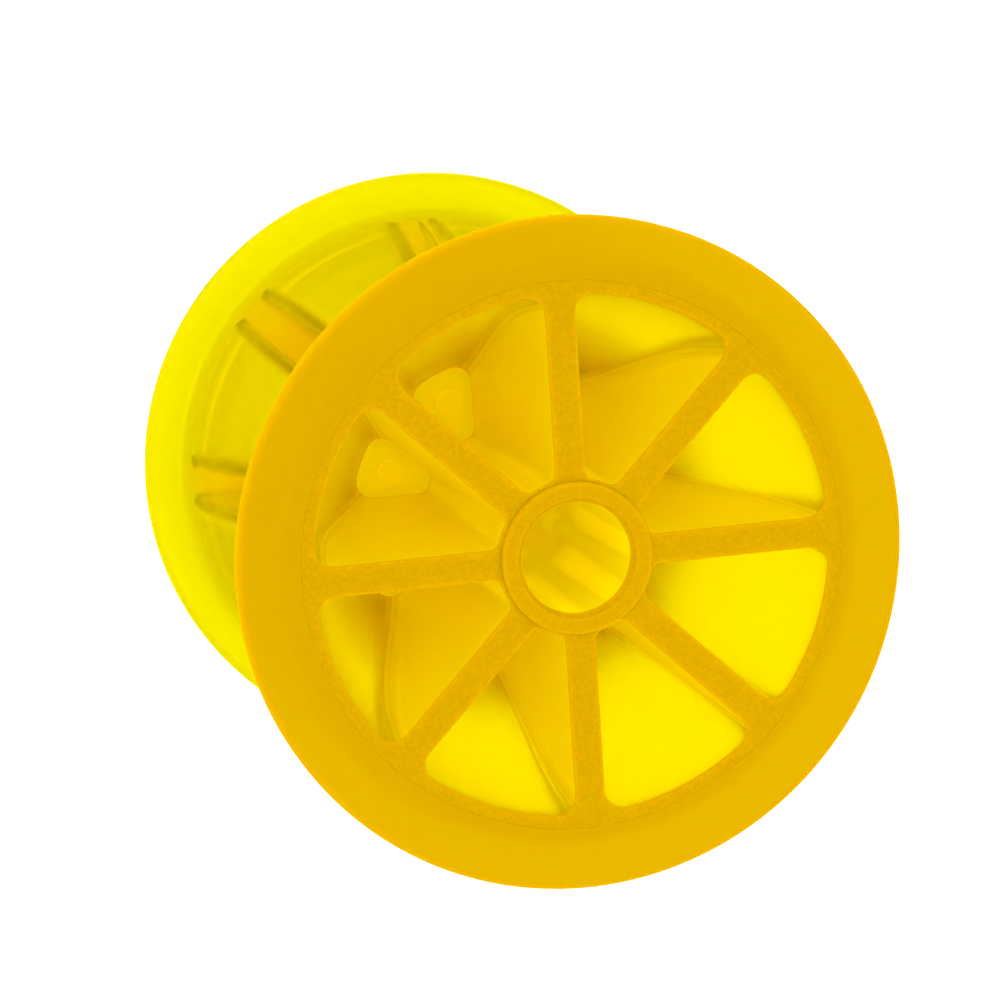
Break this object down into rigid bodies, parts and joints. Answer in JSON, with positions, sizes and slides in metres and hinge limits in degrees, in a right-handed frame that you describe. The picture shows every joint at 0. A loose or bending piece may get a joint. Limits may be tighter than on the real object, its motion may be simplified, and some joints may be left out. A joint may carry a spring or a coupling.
{
  "type": "fence insulator",
  "caption": "Moulded plastic corner insulator: an hourglass spool with a groove for the wire, a through bore for its pin and ribbed, cored ends.",
  "frame": {"origin": "centre of the rear flange's face, on the axis of the bore, where the spool stands on a surface", "axes": "+Z along the bore, from the rear flange to the front flange; +X along a rib of each end"},
  "size_m": [0.06, 0.06, 0.0658],
  "materials": {
    "yellow_plastic": "translucent yellow plastic, smooth outside and finely grained on its end faces"
  },
  "bodies": {
    "root": {"front_flange": "yellow_plastic", "front_neck": "yellow_plastic", "rear_flange": "yellow_plastic", "rear_neck": "yellow_plastic", "front_rib_1": "yellow_plastic", "front_rib_2": "yellow_plastic", "front_rib_3": "yellow_plastic", "front_rib_4": "yellow_plastic", "front_rib_5": "yellow_plastic", "front_rib_6": "yellow_plastic", "front_rib_7": "yellow_plastic", "front_rib_8": "yellow_plastic", "rear_rib_1": "yellow_plastic", "rear_rib_2": "yellow_plastic", "rear_rib_3": "yellow_plastic", "rear_rib_4": "yellow_plastic", "rear_rib_5": "yellow_plastic", "rear_rib_6": "yellow_plastic", "rear_rib_7": "yellow_plastic", "rear_rib_8": "yellow_plastic", "middle_web": "yellow_plastic", "bore_tube": "yellow_plastic"}
  },
  "joints": []
}
